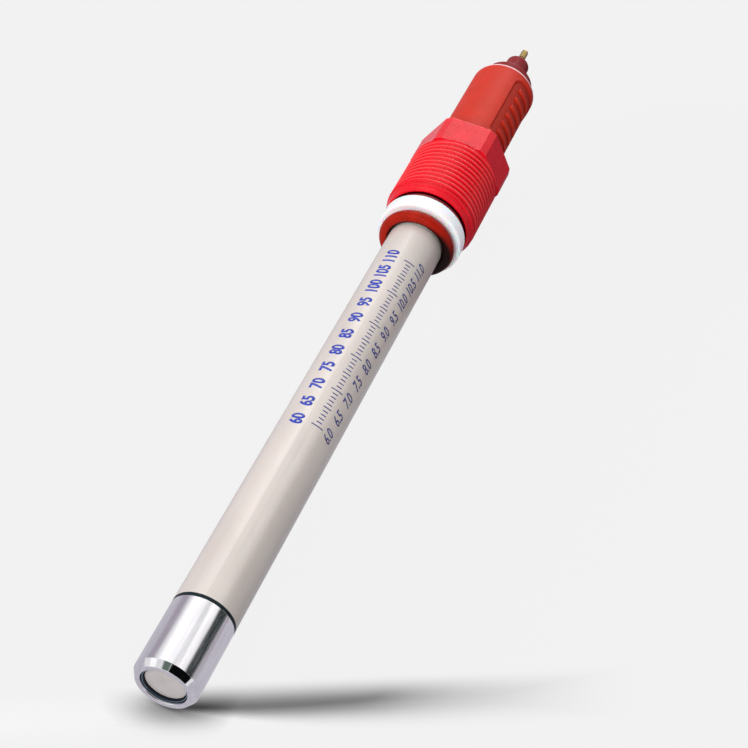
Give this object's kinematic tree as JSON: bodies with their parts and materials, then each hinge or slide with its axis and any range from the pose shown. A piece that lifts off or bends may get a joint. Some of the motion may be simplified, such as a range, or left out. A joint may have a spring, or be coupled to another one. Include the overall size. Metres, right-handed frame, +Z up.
{
  "type": "ph electrode",
  "caption": "Industrial pH electrode: plastic shaft with a steel-sleeved flat glass tip, O-ring, slip ring, turning screw-in cap with a hexagon, barrel head and coaxial plug",
  "frame": {"origin": "on the ground, below the middle of the lying electrode's bounding box", "axes": "+X from the measuring tip towards the plug, with the electrode's axis climbing 1.85 degrees towards +Z on the way; +Z up; one hexagon flat faces straight up"},
  "size_m": [0.201, 0.021, 0.0209],
  "materials": {
    "sleeve_steel": "polished",
    "seal_elastomer": "satin",
    "stem_glass": "polished",
    "junction_ceramic": "fine porous",
    "shaft_plastic": "satin",
    "buffer_gel": "gelled",
    "silver": "bright",
    "bung_silicone": "matt",
    "electrolyte": "gelled",
    "lead_clear": "satin",
    "shrink_sleeve": "satin",
    "lead_black": "satin",
    "o_ring_red": "glossy",
    "ring_white": "satin",
    "collar_red": "gloss",
    "cap_red": "gloss",
    "housing_red": "satin",
    "potting_resin": "cured",
    "plug_red": "gloss",
    "contact_gold": "gold plated"
  },
  "bodies": {
    "electrode": {"tip_sleeve": "sleeve_steel", "membrane_seal": "seal_elastomer", "glass_stem": "stem_glass", "junction_ring": "junction_ceramic", "shaft": "shaft_plastic", "inner_buffer": "buffer_gel", "measuring_element": "silver", "stem_bung": "bung_silicone", "reference_gel": "electrolyte", "reference_element": "silver", "chamber_bung": "bung_silicone", "measuring_lead": "lead_clear", "joint_sleeve": "shrink_sleeve", "reference_lead": "lead_black", "o_ring": "o_ring_red", "retaining_collar": "collar_red", "head_housing": "housing_red", "potting": "potting_resin", "head_plug": "plug_red", "contact_pin": "contact_gold", "contact_ring": "contact_gold"},
    "cap": {"screw_cap": "cap_red"},
    "ring": {"slip_ring": "ring_white"}
  },
  "joints": [
    {"name": "screw_cap_turn", "type": "hinge", "parent": "electrode", "child": "cap", "pos_m": [0.04172, 0, 0.01054], "axis": [0.9995, 0, 0.0323], "continuous": true},
    {"name": "slip_ring_turn", "type": "hinge", "parent": "electrode", "child": "ring", "pos_m": [0.02513, 0, 0.01], "axis": [0.9995, 0, 0.0323], "continuous": true}
  ]
}
